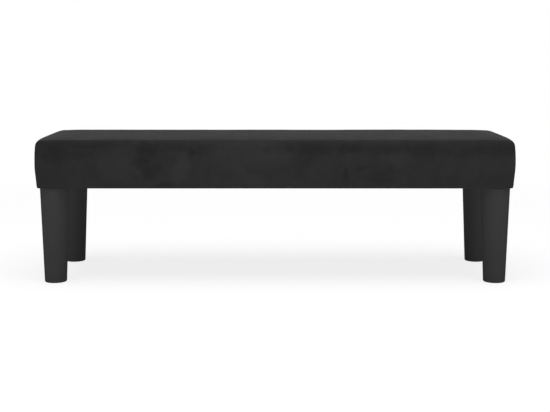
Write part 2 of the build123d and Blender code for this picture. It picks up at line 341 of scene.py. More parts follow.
class Cover:
    """The cover's grid of points: its form on the block, its hem, and how the pad has swollen it."""

    def __init__(self):
        self.levels = [level for level in wall_levels(hem_level, 0) if level > hem_level + fold_radius]
        self.levels.append(hem_level + fold_radius)
        blocks = [sheet_block(0)] + [loop_block(0, level) for level in self.levels]
        loops = [shaped(block, 0) for block in blocks]
        lip = loops[-1]
        for inward, height in self.hem_profile():
            blocks.append(loop_block(0, hem_level))
            loops.append(self.drawn_loop(lip, inward, height))
        self.block = np.concatenate(blocks)
        self.points = np.concatenate(loops)
        self.hem_start = sheet_size + len(self.levels) * len(rim)
        self.faces = dome_faces(len(loops) - 1)
        self.shift = np.zeros_like(self.points)

    def hem_profile(self):
        """Steps of the hem, inward and up from its lowest line: a round fold and a flat band."""
        turns = np.linspace(0, math.pi / 2, fold_steps + 1)[1:]
        fold = [(fold_radius * (1 - math.cos(turn)), fold_radius * (1 - math.sin(turn))) for turn in turns]
        return fold + [(inward, 0) for inward in np.linspace(fold_radius, hem_width, hem_steps + 1)[1:]]

    def drawn_loop(self, lip, inward, height):
        """The lip's loop, drawn inward and set at a height above the hem's level."""
        reach_x = np.abs(lip[:, 0]).max()
        reach_y = np.abs(lip[:, 1]).max()
        loop = lip.copy()
        loop[:, 0] *= (reach_x - inward) / reach_x
        loop[:, 1] *= (reach_y - inward) / reach_y
        loop[:, 2] = hem_level + height
        return loop

    def seam_distance(self):
        """How far each point lies from the nearest corner seam, along the block's faces."""
        away_x = half_length - np.abs(self.block[:, 0])
        away_y = half_depth - np.abs(self.block[:, 1])
        return np.hypot(away_x, away_y)

    def sewn_points(self):
        """Points that seams, staples and the foam's edge hold in place."""
        held = np.arange(len(self.points)) >= self.hem_start
        held |= self.seam_distance() < same_place
        held[rim] = True
        return [int(k) for k in np.flatnonzero(held)]

    def fade(self):
        """Share of the movement at each point: none at the hem, all of it a little higher."""
        return smooth_step((self.block[:, 2] - hem_level) / swell_fade)

    def slack(self):
        """Share of the slack at each point: none at the hem and the top edge, all of it between them."""
        away_x = half_length - np.abs(self.block[:, 0])
        away_y = half_depth - np.abs(self.block[:, 1])
        from_edge = np.maximum(np.minimum(away_x, away_y), top_level - self.block[:, 2])
        return self.fade() * smooth_step(from_edge / swell_fade)

    def swell(self):
        """Blow the cover up a little by cloth simulation, and add the padding's slow unevenness."""
        start = self.points - point_normals(self.points, self.faces) * self.slack()[:, None] * swell_room
        moved = self.simulated(start)
        slow = np.array([noise.noise(Vector(p) / wave_length) for p in self.points]) * wave_depth
        fine = np.array([noise.noise(Vector(p) / ripple_length) for p in self.points]) * ripple_depth
        normals = point_normals(moved, self.faces)
        uneven = normals * ((slow + fine) * self.fade())[:, None]
        self.shift = moved + uneven - self.points

    def simulated(self, start):
        """Points after cloth simulation with a little pressure from inside."""
        piece = mesh_piece("swelling_cover", start, self.faces)
        piece.vertex_groups.new(name="sewn").add(self.sewn_points(), 1.0, "REPLACE")
        cloth = piece.modifiers.new("swell", "CLOTH").settings
        cloth.quality = cloth_quality
        cloth.mass = cloth_mass
        cloth.tension_stiffness = cloth_stiffness
        cloth.compression_stiffness = cloth_stiffness
        cloth.shear_stiffness = cloth_shear_stiffness
        cloth.bending_stiffness = cloth_bending_stiffness
        cloth.use_pressure = True
        cloth.uniform_pressure_force = swell_pressure
        cloth.effector_weights.gravity = 0
        cloth.vertex_group_mass = "sewn"
        for number in range(1, swell_frames + 1):
            bpy.context.scene.frame_set(number)
        graph = bpy.context.evaluated_depsgraph_get()
        moved = points_of(piece.evaluated_get(graph).data) - start
        bpy.context.scene.frame_set(1)
        bpy.data.objects.remove(piece)
        farthest = np.linalg.norm(moved, axis=1).max()
        return start + moved * min(1, swell_cap / farthest)

    def shift_at(self, level):
        """Swelling of a loop at a level, between the cover's own loops."""
        own = np.array(self.levels)
        low = int(np.clip(np.searchsorted(-own, -level), 1, len(own) - 1))
        share = np.clip((own[low - 1] - level) / (own[low - 1] - own[low]), 0, 1)
        start = sheet_size + (low - 1) * len(rim)
        upper = self.shift[start:start + len(rim)]
        lower = self.shift[start + len(rim):start + 2 * len(rim)]
        return upper * (1 - share) + lower * share

    def layer_loop(self, inset, level):
        """Side loop of an inner layer, swollen as the cover is, at an exact level."""
        loop = shaped(loop_block(inset, level), inset) + self.shift_at(level)
        loop[:, 2] = level
        return loop

    def layer_dome(self, inset, base):
        """Points of an inner layer's outer face down to a base level, with its number of loops."""
        levels = wall_levels(base, inset)
        sheet = shaped(sheet_block(inset), inset) + self.shift[:sheet_size]
        loops = [shaped(loop_block(inset, level), inset) + self.shift_at(level) for level in levels[:-1]]
        return np.concatenate([sheet] + loops + [self.layer_loop(inset, base)]), len(levels)


def seam_share(cover):
    """How much each point belongs to a corner seam, from 0 to 1."""
    from_seam = cover.seam_distance()
    above_hem = cover.block[:, 2] - hem_level
    on_wall = top_level - cover.block[:, 2] > same_place
    along_seam = np.where(on_wall, smooth_step(above_hem / seam_end), np.exp(-from_seam / seam_end))
    return np.exp(-(from_seam / seam_width) ** 2) * along_seam


def seam_relief(cover):
    """Height over the cover's smooth form of seams, the puckers beside them, and staple pulls."""
    from_seam = cover.seam_distance()
    below_top = top_level - cover.block[:, 2]
    above_hem = cover.block[:, 2] - hem_level
    on_wall = below_top > same_place
    seam = -seam_depth * seam_share(cover)
    ear = ear_height * np.exp(-(np.hypot(from_seam, below_top) / seam_end) ** 2)
    turns = below_top / pucker_pitch + np.sin(below_top / (pucker_drift * pucker_pitch))
    pucker = -pucker_depth * np.sin(2 * math.pi * turns) * np.exp(-from_seam / pucker_reach)
    pucker *= smooth_step(from_seam / seam_end) * on_wall
    pucker *= smooth_step(below_top / pucker_reach) * smooth_step(above_hem / pucker_reach)
    away_x = half_length - np.abs(cover.block[:, 0])
    run = np.where(away_x < same_place, cover.block[:, 1], cover.block[:, 0])
    pull_step = even_row(leg_x, hem_staple_pitch)[1] + leg_x
    pull = -pull_depth * (0.5 + 0.5 * np.cos(2 * math.pi * (run + leg_x) / pull_step))
    pull *= np.exp(-above_hem / pull_reach) * smooth_step(above_hem / seam_end) * on_wall
    return seam + ear + pucker + pull


def close_shell(outer, inner):
    """Join the inner face to the outer one along the hem's edge, and drop the inner object."""
    built = bmesh.new()
    built.from_mesh(outer.data)
    built.from_mesh(inner.data)
    open_edges = [edge for edge in built.edges if len(edge.link_faces) == 1]
    bmesh.ops.bridge_loops(built, edges=open_edges)
    built.to_mesh(outer.data)
    built.free()
    bpy.data.objects.remove(inner)
    outer.data.shade_smooth()


def velvet_cover(cover):
    """The sewn cover: a thin closed shell with its pile side out and its hem turned under."""
    smooth = cover.points + cover.shift
    normals = point_normals(smooth, cover.faces)
    outer = mesh_piece("velvet_skin", smooth + normals * seam_relief(cover)[:, None], cover.faces)
    seam = outer.data.attributes.new("seam", "FLOAT", "POINT")
    seam.data.foreach_set("value", seam_share(cover).astype(np.float32))
    finer = outer.modifiers.new("finer", "SUBSURF")
    finer.levels = 1
    finer.render_levels = 1
    bake_modifiers(outer)
    back = [face[::-1] for face in cover.faces]
    close_shell(outer, mesh_piece("velvet_back", smooth - normals * velvet_thickness, back))
    dress(outer, velvet_finish(), "velvet_cover")
    return outer


def fibre_wadding(cover):
    """Thin fibre wrap between the velvet and the foam, open below."""
    base = hem_level + fold_radius + layer_gap
    outside, loop_count = cover.layer_dome(wadding_inset, base)
    inside = cover.layer_dome(wadding_inset + wadding_thickness, base)[0]
    inside = inside[:sheet_size + loop_count * len(rim)]
    outer_faces = dome_faces(loop_count)
    inner_faces = [tuple(k + len(outside) for k in face[::-1]) for face in outer_faces]
    outer_rim = list(range(len(outside) - len(rim), len(outside)))
    inner_rim = [k + len(outside) for k in outer_rim]
    faces = outer_faces + inner_faces + skirt_faces(outer_rim, inner_rim)
    piece = mesh_piece("fibre_wrap", np.concatenate([outside, inside]), faces, creased=True)
    dress(piece, fibre_finish(), "fibre_wadding")


def seat_foam(cover, finish):
    """Foam slab with a crowned top, flat on the seat board."""
    points, loop_count = cover.layer_dome(foam_inset, board_high.z + layer_gap)
    last_rim = range(len(points) - len(rim), len(points))
    faces = dome_faces(loop_count) + [tuple(reversed(last_rim))]
    piece = mesh_piece("foam_slab", points, faces, creased=True)
    dress(piece, finish, "seat_foam")


def strip_faces(level_count, run):
    """Quads of a closed strip whose outer rows of points come first and its inner rows after them."""
    inner = level_count * run
    last = inner - run
    cells = [row * run + k for row in range(level_count - 1) for k in range(run - 1)]
    faces = [(c, c + run, c + run + 1, c + 1) for c in cells]
    faces += [(c + inner, c + inner + 1, c + inner + run + 1, c + inner + run) for c in cells]
    faces += [(k, k + 1, inner + k + 1, inner + k) for k in range(run - 1)]
    faces += [(last + k, inner + last + k, inner + last + k + 1, last + k + 1) for k in range(run - 1)]
    for start in range(0, last, run):
        end = start + run - 1
        faces.append((start, inner + start, inner + start + run, start + run))
        faces.append((end, end + run, inner + end + run, inner + end))
    return faces


def side_foam(cover, finish, node, axis, side):
    """Foam strip between a side of the frame and the wadding: axis 1 is a long side, axis 0 an end."""
    levels = np.linspace(board_high.z - layer_gap, rail_base + layer_gap, strip_levels)
    loops = [cover.layer_loop(foam_inset, level) for level in levels]
    back = (frame_half_length, frame_half_depth)[axis] + layer_gap
    beyond = [side * loop[:, axis] > back + layer_gap for loop in loops]
    if axis == 0:
        beyond += [np.abs(loop[:, 1]) < frame_half_depth for loop in loops]
    chosen = np.all(beyond, axis=0)
    start = next(k for k in range(len(rim)) if chosen[k] and not chosen[k - 1])
    order = [(start + k) % len(rim) for k in range(int(chosen.sum()))]
    outer = [loop[order] for loop in loops]
    inner = [row.copy() for row in outer]
    for row in inner:
        row[:, axis] = side * back
    faces = strip_faces(strip_levels, len(order))
    piece = mesh_piece(node + "_strip", np.concatenate(outer + inner), faces, creased=True)
    dress(piece, finish, node)


def side_foams(cover, finish):
    """The four foam strips round the frame."""
    side_foam(cover, finish, "front_side_foam", 1, -1)
    side_foam(cover, finish, "rear_side_foam", 1, 1)
    side_foam(cover, finish, "left_end_foam", 0, -1)
    side_foam(cover, finish, "right_end_foam", 0, 1)


def soft_corners(x, y):
    """Points of the lining's rectangle with its corners made round."""
    past_x = np.clip((np.abs(x) - lining_high.x + lining_radius) / lining_radius, 0, 1)
    past_y = np.clip((np.abs(y) - lining_high.y + lining_radius) / lining_radius, 0, 1)
    round_x = x - np.sign(x) * lining_radius * past_x * (1 - np.sqrt(1 - past_y ** 2 / 2))
    round_y = y - np.sign(y) * lining_radius * past_y * (1 - np.sqrt(1 - past_x ** 2 / 2))
    return round_x, round_y


def lining_hang(x, y):
    """How far the lining hangs at a point, and how much its folded edge adds below that."""
    edge_x = lining_high.x - np.abs(x)
    edge_y = lining_high.y - np.abs(y)
    from_edge = np.minimum(edge_x, edge_y)
    from_leg = np.hypot(np.abs(x) - leg_x, np.abs(y) - leg_y) - leg_top_radius
    off_leg = smooth_step((from_leg - lining_leg_clear) / leg_top_radius)
    sag = lining_sag * smooth_step(edge_x / lining_high.y) * smooth_step(edge_y / lining_high.y)
    run = np.where(edge_x < edge_y, y, x)
    turns = run / lining_pucker_pitch + np.sin(run / (pucker_drift * lining_pucker_pitch))
    pucker = lining_pucker * (1 + np.sin(2 * math.pi * turns)) * np.exp(-from_edge / lining_fold_width)
    pucker *= smooth_step(from_edge / lining_fold_width)
    fold = lining_fold_extra * smooth_step((lining_fold_width - from_edge) / lining_fold_slope)
    return (sag + pucker) * off_leg, fold * off_leg


def bolt_holes(piece):
    """Cut the four round holes that the leg bolts pass through."""
    built = bmesh.new()
    for across, along in [(-1, -1), (-1, 1), (1, -1), (1, 1)]:
        spot = Matrix.Translation((across * leg_x, along * leg_y, lining_low.z))
        bmesh.ops.create_cone(built, cap_ends=True, segments=bolt_hole_sides, radius1=bolt_hole_radius,
                              radius2=bolt_hole_radius, depth=2 * bolt_hole_radius, matrix=spot)
    cutter = mesh_piece("hole_cutter", [], [])
    built.to_mesh(cutter.data)
    built.free()
    holes = piece.modifiers.new("holes", "BOOLEAN")
    holes.object = cutter
    holes.solver = "EXACT"
    bake_modifiers(piece)
    bpy.data.objects.remove(cutter)
    piece.data.set_sharp_from_angle(angle=sharp_angle)


def dust_lining():
    """Thin lining stapled under the seat, folded in at its edge and hanging a little in the middle."""
    spread_x = np.sin(np.linspace(-math.pi / 2, math.pi / 2, lining_columns)) * lining_high.x
    spread_y = np.sin(np.linspace(-math.pi / 2, math.pi / 2, lining_rows)) * lining_high.y
    across, along = np.meshgrid(spread_x, spread_y, indexing="ij")
    x, y = soft_corners(across.ravel(), along.ravel())
    hang, fold = lining_hang(x, y)
    over = np.column_stack([x, y, lining_high.z - hang])
    under = np.column_stack([x, y, lining_low.z - hang - fold])
    top = sheet_faces(lining_columns, lining_rows)
    bottom = [tuple(k + len(x) for k in face[::-1]) for face in top]
    upper = border_of(lining_columns, lining_rows)
    sides = skirt_faces(upper, [k + len(x) for k in upper])
    piece = mesh_piece("lining_sheet", np.concatenate([over, under]), top + bottom + sides)
    bolt_holes(piece)
    dress(piece, lining_finish(), "dust_cover")


class StapleTree:
    """Geometry Nodes that put a rounded wire staple on each point, turned by the point's own turn."""

    def __init__(self, material):
        self.tree = bpy.data.node_groups.new("staple_row", "GeometryNodeTree")
        face = self.tree.interface
        face.new_socket("Points", in_out="INPUT", socket_type="NodeSocketGeometry")
        face.new_socket("Staples", in_out="OUTPUT", socket_type="NodeSocketGeometry")
        names = ["Crown", "Leg", "Wire", "Width", "Bend", "Rounding"]
        self.sockets = {}
        for name in names:
            socket = face.new_socket(name, in_out="INPUT", socket_type="NodeSocketFloat")
            self.sockets[name] = socket.identifier
        self.entry = self.add("NodeGroupInput")
        size = {name: self.entry.outputs[name] for name in names}
        path = self.add("GeometryNodeFilletCurve", {"Curve": self.open_path(size), "Radius": size["Bend"]})
        self.round_off(path)
        flat = {"Width": size["Wire"], "Height": size["Width"]}
        section = self.add("GeometryNodeCurvePrimitiveQuadrilateral", flat)
        soft = self.add("GeometryNodeFilletCurve", {"Curve": section.outputs[0], "Radius": size["Rounding"]})
        self.round_off(soft)
        swept = {"Curve": path.outputs[0], "Profile Curve": soft.outputs[0], "Fill Caps": True}
        body = self.add("GeometryNodeCurveToMesh", swept)
        turn = self.add("GeometryNodeInputNamedAttribute", {"Name": "turn"}, {"data_type": "FLOAT"})
        spin = self.add("FunctionNodeAxisAngleToRotation", {"Angle": turn.outputs["Attribute"]})
        points = self.entry.outputs["Points"]
        placed = {"Points": points, "Instance": body.outputs[0], "Rotation": spin.outputs[0]}
        row = self.add("GeometryNodeInstanceOnPoints", placed)
        real = self.add("GeometryNodeRealizeInstances", {"Geometry": row.outputs[0]})
        shown = self.add("GeometryNodeSetMaterial", {"Geometry": real.outputs[0]})
        shown.inputs["Material"].default_value = material
        self.add("NodeGroupOutput", {"Staples": shown.outputs[0]})

    def add(self, kind, inputs=None, settings=None):
        """Add a node, set its settings, then link or set its inputs."""
        node = self.tree.nodes.new(kind)
        for key, value in (settings or {}).items():
            setattr(node, key, value)
        for key, value in (inputs or {}).items():
            if isinstance(value, bpy.types.NodeSocket):
                self.tree.links.new(value, node.inputs[key])
            else:
                node.inputs[key].default_value = value
        return node

    def open_path(self, size):
        """The staple's centre line: up one leg's length at each end of its crown."""
        half = self.add("ShaderNodeMath", {0: size["Crown"], 1: 0.5}, {"operation": "MULTIPLY"}).outputs[0]
        minus = self.add("ShaderNodeMath", {0: half, 1: -1.0}, {"operation": "MULTIPLY"}).outputs[0]
        path = self.add("GeometryNodeCurvePrimitiveQuadrilateral", None, {"mode": "POINTS"})
        leg = size["Leg"]
        corners = [{"X": minus, "Z": leg}, {"X": minus}, {"X": half}, {"X": half, "Z": leg}]
        for number, corner in enumerate(corners, 1):
            spot = self.add("ShaderNodeCombineXYZ", corner)
            self.tree.links.new(spot.outputs[0], path.inputs["Point %d" % number])
        opened = self.add("GeometryNodeSetSplineCyclic", {"Geometry": path.outputs[0]})
        opened.inputs["Cyclic"].default_value = False
        return opened.outputs[0]

    def round_off(self, fillet):
        """Make a fillet node round its corners in a few straight steps."""
        fillet.mode = "POLY"
        fillet.inputs["Count"].default_value = staple_bend_steps


def staple_row(made, name, node, low, high, reach_x, reach_y, pitch):
    """One mesh of all the staples of a node, along the four rails, crowns down."""
    side_y = high.y - staple_width / 2
    end_x = high.x - staple_width / 2
    places = [(x, side * side_y, 0) for x in even_row(reach_x, pitch) for side in (-1, 1)]
    places += [(side * end_x, y, math.pi / 2) for y in even_row(reach_y, pitch) for side in (-1, 1)]
    mesh = bpy.data.meshes.new(name)
    mesh.from_pydata([(x, y, low.z + staple_wire / 2) for x, y, turn in places], [], [])
    turns = mesh.attributes.new("turn", "FLOAT", "POINT")
    turns.data.foreach_set("value", [turn for x, y, turn in places])
    piece = bpy.data.objects.new(name, mesh)
    bpy.context.scene.collection.objects.link(piece)
    rows = piece.modifiers.new("staples", "NODES")
    rows.node_group = made.tree
    sizes = {
        "Crown": staple_crown - staple_wire,
        "Leg": high.z - low.z - staple_wire / 2,
        "Wire": staple_wire,
        "Width": staple_width,
        "Bend": staple_bend,
        "Rounding": staple_rounding,
    }
    for key, value in sizes.items():
        rows[made.sockets[key]] = value
    bake_modifiers(piece)
    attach(piece, "root")
    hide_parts(node)


def staples(material):
    """The hem's staples and the lining's staples."""
    made = StapleTree(material)
    staple_row(made, "hem_staple_row", "cover_staples", hem_staple_low, hem_staple_high,
               leg_x, leg_y, hem_staple_pitch)
    clear = leg_top_radius + lining_staple_gap
    staple_row(made, "lining_staple_row", "dust_cover_staples", lining_staple_low, lining_staple_high,
               leg_x - clear, leg_y - clear, lining_staple_pitch)


# Materials

class Wire:
    """A value in a material's tree. Arithmetic on it adds Math nodes."""

    def __init__(self, finish, socket):
        self.finish = finish
        self.socket = socket

    def __add__(self, other):
        return self.finish.maths("ADD", self, other)

    def __mul__(self, other):
        return self.finish.maths("MULTIPLY", self, other)

    def __sub__(self, other):
        return self.finish.maths("SUBTRACT", self, other)

    def __rsub__(self, other):
        return self.finish.maths("SUBTRACT", other, self)

    __radd__ = __add__
    __rmul__ = __mul__


class Finish:
    """One material, with a method that adds any node to its tree."""

    def __init__(self, name):
        self.material = bpy.data.materials.new(name)
        self.material.use_nodes = True
        self.tree = self.material.node_tree
        self.shader = self.tree.nodes["Principled BSDF"]

    def add(self, kind, settings=None, inputs=None, output=0):
        """Add a node, set its settings, then its sockets, and give one of its outputs."""
        node = self.tree.nodes.new("ShaderNode" + kind)
        for key, value in (settings or {}).items():
            setattr(node, key, value)
        for key, value in (inputs or {}).items():
            self.plug(value, node.inputs[key])
        return Wire(self, node.outputs[output])

    def plug(self, value, socket):
        """Link a wire to a socket, or set the socket to a plain value."""
        if isinstance(value, Wire):
            self.tree.links.new(value.socket, socket)
        else:
            socket.default_value = value

    def maths(self, operation, first, second):
        """Math node of two values."""
        return self.add("Math", {"operation": operation}, {0: first, 1: second})

    def place(self, scale=(1, 1, 1), turn=(0, 0, 0)):
        """The object's own coordinates, scaled or turned."""
        spot = self.add("TexCoord", output=3)
        return self.add("Mapping", None, {"Vector": spot, "Scale": scale, "Rotation": turn})

    def noise(self, vector, scale, detail=2.0, rough=0.5, distortion=0.0):
        """Noise value from 0 to 1. Its scale is in waves per metre."""
        inputs = {"Vector": vector, "Scale": scale, "Detail": detail}
        inputs.update({"Roughness": rough, "Distortion": distortion})
        return self.add("TexNoise", None, inputs)

    def cells(self, vector, scale, uneven=1.0):
        """Distance from the middle of the nearest of many small cells."""
        return self.add("TexVoronoi", None, {"Vector": vector, "Scale": scale, "Randomness": uneven})

    def ramp(self, value, low, high, to_low=0.0, to_high=1.0):
        """A value taken smoothly from one range to another."""
        inputs = {"Value": value, "From Min": low, "From Max": high}
        inputs.update({"To Min": to_low, "To Max": to_high})
        return self.add("MapRange", {"interpolation_type": "SMOOTHSTEP"}, inputs)

    def blend(self, share, first, second):
        """Colour between two colours."""
        return self.add("Mix", {"data_type": "RGBA"}, {0: share, 6: first, 7: second}, 2)

    def bump(self, height, distance, strength=1.0):
        """Surface direction from a height."""
        return self.add("Bump", None, {"Height": height, "Distance": distance, "Strength": strength})

    def set(self, **values):
        """Values of the shader's own sockets, with spaces in their names written as underscores."""
        for key, value in values.items():
            self.plug(value, self.shader.inputs[key.replace("_", " ")])


def grey(value, warm=0.0):
    """A grey colour, a little warm or cool."""
    return (value * (1 + warm), value, value * (1 - warm), 1)


# Brush marks on the front of the velvet, some of them painted shade under the top edge: across, up, half
# width, half height, lean, change of tone
nap_marks_and_edge_shade = [
    (-0.455, 0.268, 0.034, 0.028, 0.0, -0.4),
    # Painted shade: a wide dark mark just under the top edge near the left corner.
    (-0.425, 0.284, 0.110, 0.034, 0.0, -1.1),
    (-0.450, 0.287, 0.024, 0.012, 0.0, -0.5),
    (-0.325, 0.243, 0.060, 0.046, 0.3, 1.1),
    (-0.264, 0.274, 0.028, 0.022, 0.4, -1.5),
    (-0.278, 0.254, 0.024, 0.020, 0.5, -1.4),
    (-0.256, 0.237, 0.030, 0.019, -0.5, -1.5),
    (-0.236, 0.208, 0.040, 0.007, 0.0, -0.8),
    (-0.194, 0.243, 0.024, 0.046, 0.35, 1.2),
    (-0.172, 0.275, 0.012, 0.012, 0.4, -1.1),
    (-0.168, 0.284, 0.036, 0.020, 0.2, -0.5),
    (-0.050, 0.268, 0.110, 0.050, 0.0, 1.3),
    (-0.020, 0.281, 0.014, 0.011, 0.3, -0.8),
    (-0.047, 0.242, 0.026, 0.014, 0.3, -0.5),
    (-0.102, 0.227, 0.016, 0.013, 0.0, -0.5),
    (-0.060, 0.216, 0.080, 0.020, 0.1, 0.9),
    (0.033, 0.286, 0.012, 0.016, 0.3, -0.8),
    (0.070, 0.262, 0.013, 0.030, 0.3, -0.5),
    (0.050, 0.230, 0.020, 0.013, 0.5, -0.5),
    (0.100, 0.235, 0.040, 0.040, 0.0, 0.7),
    (0.257, 0.272, 0.030, 0.034, 0.0, 0.6),
    (0.142, 0.279, 0.016, 0.024, 0.2, -1.1),
    (0.167, 0.285, 0.020, 0.016, -0.3, -0.9),
    (0.144, 0.224, 0.009, 0.026, 0.15, -1.2),
    (0.176, 0.245, 0.017, 0.008, -0.4, -0.8),
    (0.215, 0.220, 0.044, 0.015, 0.0, -0.6),
    (0.242, 0.240, 0.013, 0.013, 0.5, -0.4),
    (0.305, 0.274, 0.036, 0.028, 0.2, -0.8),
    (0.348, 0.268, 0.016, 0.026, 0.3, -0.5),
    (0.448, 0.220, 0.050, 0.020, 0.0, -0.5),
    # Painted shade: the last four marks are a dark band just under the front top edge.
    (-0.400, 0.294, 0.220, 0.009, 0.0, -0.9),
    (-0.235, 0.288, 0.080, 0.017, 0.0, -1.3),
    (0.120, 0.286, 0.240, 0.020, 0.0, -1.1),
    (0.400, 0.284, 0.240, 0.024, 0.0, -1.0),
]
mark_wander = 0.012
mark_wander_scale = 45.0
mark_core = 0.35
front_edge = -0.128
front_fade = 0.010

# Velvet: its darkest and palest grey, and how far each kind of unevenness, and the painted shade under the
# top edge, moves the tone between them
velvet_dark = 0.0130
velvet_pale = 0.0230
patch_tone = 0.45
front_patch_cut = 0.2
mark_tone = 0.25
fibre_tone = 1.3
tuft_tone = 0.5
seam_tone = 0.5
pile_depth = 0.0004

# Legs: their greys, and how much of the change between them comes from cloudiness and from a painted shade
# that darkens them towards the floor
leg_dark = 0.0250
leg_pale = 0.0315
cloud_share = 0.3
painted_foot_shade_share = 0.7
leg_grain_depth = 0.0002

# Hidden finishes: two colours of each, and the depths of their relief
plywood_pale = (0.62, 0.44, 0.26, 1)
plywood_dark = (0.42, 0.27, 0.14, 1)
plywood_grain_depth = 0.0003
foam_shade = (0.66, 0.60, 0.42, 1)
foam_pale = (0.82, 0.77, 0.60, 1)
foam_cell_depth = 0.0005
fibre_shade = 0.70
fibre_pale = 0.88
strand_depth = 0.0008
lining_dark = 0.010
lining_pale = 0.022
lining_dot_depth = 0.0002
glide_dark = 0.012
glide_pale = 0.030
scuff_depth = 0.0001

# Metals: brightness, roughness, and their unevenness
zinc_grey = 0.60
zinc_roughness = 0.32
staple_grey = 0.55
staple_roughness = 0.28
dull_share = 0.8
dull_warmth = 0.03
scratch_roughness = 0.15
scratch_depth = 0.00005


def brush_marks_and_edge_shade(finish, spot):
    """Soft brush marks on the front face, with painted shade under its top edge, below zero where the velvet
    looks darker.
    """
    drift = finish.add("TexNoise", None, {"Vector": spot, "Scale": mark_wander_scale, "Detail": 3.0}, 1)
    centred = finish.add("VectorMath", {"operation": "SUBTRACT"}, {0: drift, 1: (0.5, 0.5, 0.5)})
    moved = finish.add("VectorMath", {"operation": "SCALE"}, {0: centred, "Scale": 2 * mark_wander})
    wandered = finish.add("VectorMath", {"operation": "ADD"}, {0: spot, 1: moved})
    total = 0.0
    for across, up, half_width, half_height, lean, tone in nap_marks_and_edge_shade:
        inputs = {
            "Vector": wandered,
            "Location": (across, 0, up),
            "Rotation": (0, lean, 0),
            "Scale": (half_width, 1, half_height),
        }
        local = finish.add("Mapping", {"vector_type": "TEXTURE"}, inputs)
        flat = finish.add("VectorMath", {"operation": "MULTIPLY"}, {0: local, 1: (1, 0, 1)})
        away = finish.add("VectorMath", {"operation": "LENGTH"}, {0: flat}, 1)
        total = finish.ramp(away, mark_core, 1.0, tone, 0.0) + total
    depth = finish.add("SeparateXYZ", None, {0: spot}, 1)
    front = finish.ramp(depth, front_edge - front_fade, front_edge, 1.0, 0.0)
    return total * front, front


def velvet_finish():
    """Black velvet: matt pile with a pale sheen, brushed into lighter and darker patches, with painted shade
    under the front top edge.
    """
    finish = Finish("black_velvet")
    spot = finish.place()
    leaning_right = finish.place(scale=(1, 1, 1.4), turn=(0, 0.6, 0))
    leaning_left = finish.place(scale=(1, 1, 0.55), turn=(0, -0.75, 0))
    drift = finish.noise(leaning_right, scale=9.0, distortion=0.6)
    stroke = finish.noise(leaning_left, scale=26.0, rough=0.55, distortion=0.8)
    patch = finish.ramp(drift * 0.6 + stroke * 0.4, low=0.38, high=0.62)
    fibre = finish.noise(spot, scale=1400.0, rough=0.6)
    tuft = finish.noise(spot, scale=420.0)
    marks, front = brush_marks_and_edge_shade(finish, spot)
    unrest = (patch - 0.5) * (patch_tone - front * front_patch_cut)
    grain = (fibre - 0.5) * fibre_tone + (tuft - 0.5) * tuft_tone
    seam = finish.add("Attribute", {"attribute_name": "seam"}, output=2)
    # The marks' tone carries both the brush marks and the painted shade under the front top edge.
    shade = unrest + marks * mark_tone + grain - seam * seam_tone + 0.5
    colour = finish.blend(shade, grey(velvet_dark), grey(velvet_pale))
    soft = finish.bump(fibre * 0.5 + tuft, pile_depth, strength=0.6)
    finish.set(Base_Color=colour, Roughness=0.95, Normal=soft)
    finish.set(Specular_IOR_Level=0.0, Sheen_Weight=0.077, Sheen_Roughness=0.3, Sheen_Tint=grey(0.95))
    return finish.material


def leg_finish():
    """Black moulded plastic with a fine grain, and painted shade that darkens it towards the foot."""
    finish = Finish("black_moulded_plastic")
    spot = finish.place()
    grain = finish.noise(spot, scale=900.0, detail=3.0, rough=0.6)
    cloud = finish.noise(spot, scale=14.0)
    # Painted shade: the legs are darker towards the floor and paler at the top.
    height = finish.ramp(finish.add("SeparateXYZ", None, {0: spot}, 2), low=0.0, high=hem_level)
    colour = finish.blend(cloud * cloud_share + height * painted_foot_shade_share, grey(leg_dark), grey(leg_pale))
    rough = finish.ramp(cloud, low=0.3, high=0.7, to_low=0.6, to_high=0.7)
    soft = finish.bump(grain, leg_grain_depth, strength=0.35)
    finish.set(Base_Color=colour, Roughness=rough, Normal=soft, Specular_IOR_Level=0.0)
    return finish.material


def plywood_finish():
    """Bare plywood with long grain."""
    finish = Finish("bare_plywood")
    along_grain = finish.place(scale=(2.5, 40, 40))
    grain = finish.noise(along_grain, scale=6.0, detail=4.0, rough=0.6, distortion=0.4)
    colour = finish.blend(grain, plywood_pale, plywood_dark)
    soft = finish.bump(grain, plywood_grain_depth, strength=0.5)
    finish.set(Base_Color=colour, Roughness=0.7, Normal=soft)
    return finish.material


def foam_finish():
    """Cream foam with open cells."""
    finish = Finish("cream_foam")
    cells = finish.cells(finish.place(), scale=900.0)
    colour = finish.blend(cells, foam_shade, foam_pale)
    soft = finish.bump(cells, foam_cell_depth, strength=0.8)
    finish.set(Base_Color=colour, Roughness=0.95, Normal=soft)
    return finish.material


def fibre_finish():
    """White fibre wadding."""
    finish = Finish("white_fibre")
    lying = finish.place(scale=(1, 3, 1))
    strands = finish.noise(lying, scale=260.0, detail=4.0, rough=0.7, distortion=1.5)
    colour = finish.blend(strands, grey(fibre_shade), grey(fibre_pale))
    soft = finish.bump(strands, strand_depth, strength=0.8)
    finish.set(Base_Color=colour, Roughness=1.0, Normal=soft)
    return finish.material


def lining_finish():
    """Thin black non-woven lining with small pressed dots."""
    finish = Finish("black_lining")
    spot = finish.place()
    pressed = finish.ramp(finish.cells(spot, scale=480.0, uneven=0.15), low=0.15, high=0.4)
    strands = finish.noise(spot, scale=500.0, detail=3.0, rough=0.6, distortion=1.0)
    colour = finish.blend(pressed * 0.6 + strands * 0.4, grey(lining_dark), grey(lining_pale))
    soft = finish.bump(pressed, lining_dot_depth, strength=0.7)
    finish.set(Base_Color=colour, Roughness=0.85, Normal=soft, Specular_IOR_Level=0.3)
    return finish.material


